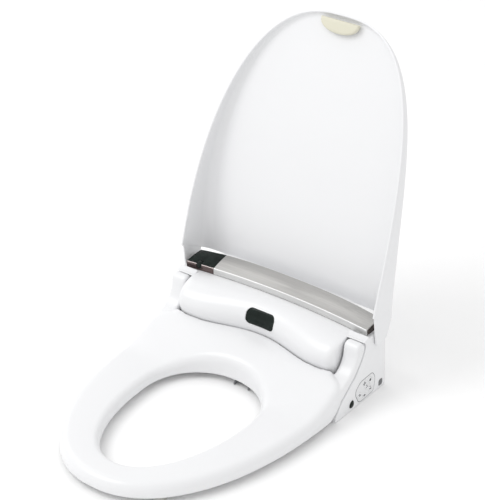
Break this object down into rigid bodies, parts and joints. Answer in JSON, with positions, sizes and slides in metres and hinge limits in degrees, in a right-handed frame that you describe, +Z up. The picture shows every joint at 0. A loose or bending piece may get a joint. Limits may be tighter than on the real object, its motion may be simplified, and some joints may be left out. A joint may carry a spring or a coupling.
{
  "type": "electric bidet seat",
  "caption": "Heated bidet toilet seat with a soft-close seat and lid, a sliding wash nozzle, a brushed metal top bar and side keys.",
  "frame": {"origin": "midway between the two fixing bolts, on the underside of the mounting plate, which is the plane of the bowl's rim", "axes": "+Z up, +Y towards the wall behind the toilet, -Y towards the seat's tip, +X to the side with the keypad"},
  "size_m": [0.3924, 0.6478, 0.556],
  "materials": {
    "white_gloss": "smooth glossy moulding",
    "white_matt": "fine matt moulding",
    "cream_pad": "soft matt pad",
    "grey_plastic": "matt moulding",
    "black_plastic": "matt moulding",
    "dark_window": "polished smoked window",
    "dark_brown": "satin moulding",
    "brushed_bar": "long-grain brushed",
    "steel_pin": "turned",
    "brass_fitting": "machined",
    "copper_film": "printed heating film",
    "board": "lacquered board",
    "grey_rubber": "soft",
    "black_rubber": "soft"
  },
  "bodies": {
    "unit": {"base_chassis": "white_matt", "mounting_plate": "grey_plastic", "drain_plug": "grey_plastic", "front_cover": "white_gloss", "rear_cover": "white_gloss", "sensor_window": "dark_window", "side_sensor_window": "dark_window", "display_window": "dark_window", "keypad_plate": "white_matt", "keypad_board": "board", "top_trim_plate": "brushed_bar", "trim_carrier": "dark_brown", "water_inlet": "brass_fitting", "cord_gland": "black_rubber", "seat_hinge_pin_right": "steel_pin", "seat_hinge_pin_left": "steel_pin", "lid_hinge_pin_right": "steel_pin", "lid_hinge_pin_left": "steel_pin", "seat_damper": "grey_plastic", "lid_damper": "grey_plastic", "nozzle_housing": "grey_plastic", "nozzle_motor": "steel_pin", "heater_tank": "black_plastic", "inlet_valve": "white_matt", "water_pump": "grey_plastic", "control_board": "board", "fan_housing": "black_plastic", "dryer_duct": "grey_plastic"},
    "seat": {"seat_shell": "white_gloss", "seat_base_plate": "white_matt", "seat_heater": "copper_film", "seat_bumper_front_right": "grey_rubber", "seat_bumper_front_left": "grey_rubber", "seat_bumper_rear_right": "grey_rubber", "seat_bumper_rear_left": "grey_rubber"},
    "lid": {"lid_shell": "white_gloss", "lid_hinge_boss_right": "white_matt", "lid_hinge_boss_left": "white_matt", "lid_pad": "cream_pad"},
    "nozzle": {"nozzle_wand": "white_matt", "nozzle_tip": "white_gloss"},
    "drive_wheel": {"nozzle_drive_wheel": "black_rubber"},
    "fan": {"fan_rotor": "grey_plastic"},
    "filter": {"deodoriser_filter": "white_matt"},
    "stop_key": {"stop_button": "white_gloss"},
    "rear_wash_key": {"rear_wash_button": "white_gloss"},
    "front_wash_key": {"front_wash_button": "white_gloss"},
    "nozzle_clean_key": {"nozzle_clean_button": "white_gloss"},
    "dryer_key": {"dryer_button": "white_gloss"},
    "deodorise_key": {"deodorise_button": "white_gloss"},
    "power_key": {"power_button": "dark_window"},
    "release_key": {"release_button": "grey_plastic"}
  },
  "joints": [
    {"name": "seat_hinge", "type": "hinge", "parent": "unit", "child": "seat", "pos_m": [0, -0.04, 0.101], "axis": [-1, 0, 0], "range_deg": [0, 112]},
    {"name": "lid_hinge", "type": "hinge", "parent": "unit", "child": "lid", "pos_m": [0, 0.0025, 0.101], "axis": [-1, 0, 0], "range_deg": [-116, 0]},
    {"name": "nozzle_slide", "type": "slide", "parent": "unit", "child": "nozzle", "axis": [0, -0.9135, -0.4067], "range_m": [0, 0.09]},
    {"name": "drive_wheel_spin", "type": "hinge", "parent": "unit", "child": "drive_wheel", "pos_m": [0.004, -0.00999, 0.05863], "axis": [-1, 0, 0], "range_deg": [0, 700]},
    {"name": "fan_spin", "type": "hinge", "parent": "unit", "child": "fan", "pos_m": [0.086, -0.014, 0.07], "axis": [1, 0, 0], "continuous": true},
    {"name": "filter_slide", "type": "slide", "parent": "unit", "child": "filter", "axis": [-1, 0, 0], "range_m": [0, 0.035]},
    {"name": "stop_press", "type": "slide", "parent": "unit", "child": "stop_key", "axis": [-1, 0, 0], "range_m": [0, 0.0012], "stiffness_N_per_m": 400},
    {"name": "rear_wash_press", "type": "slide", "parent": "unit", "child": "rear_wash_key", "axis": [-1, 0, 0], "range_m": [0, 0.0012], "stiffness_N_per_m": 400},
    {"name": "front_wash_press", "type": "slide", "parent": "unit", "child": "front_wash_key", "axis": [-1, 0, 0], "range_m": [0, 0.0012], "stiffness_N_per_m": 400},
    {"name": "nozzle_clean_press", "type": "slide", "parent": "unit", "child": "nozzle_clean_key", "axis": [-1, 0, 0], "range_m": [0, 0.0012], "stiffness_N_per_m": 400},
    {"name": "dryer_press", "type": "slide", "parent": "unit", "child": "dryer_key", "axis": [-1, 0, 0], "range_m": [0, 0.0012], "stiffness_N_per_m": 400},
    {"name": "deodorise_press", "type": "slide", "parent": "unit", "child": "deodorise_key", "axis": [-1, 0, 0], "range_m": [0, 0.0012], "stiffness_N_per_m": 400},
    {"name": "power_press", "type": "slide", "parent": "unit", "child": "power_key", "axis": [0, 1, 0], "range_m": [0, 0.0012], "stiffness_N_per_m": 400},
    {"name": "release_press", "type": "slide", "parent": "unit", "child": "release_key", "axis": [-1, 0, 0], "range_m": [0, 0.004], "stiffness_N_per_m": 600}
  ],
  "couplings": [
    {"joint": "drive_wheel_spin", "follows": "nozzle_slide", "rad_per_m": 125}
  ]
}
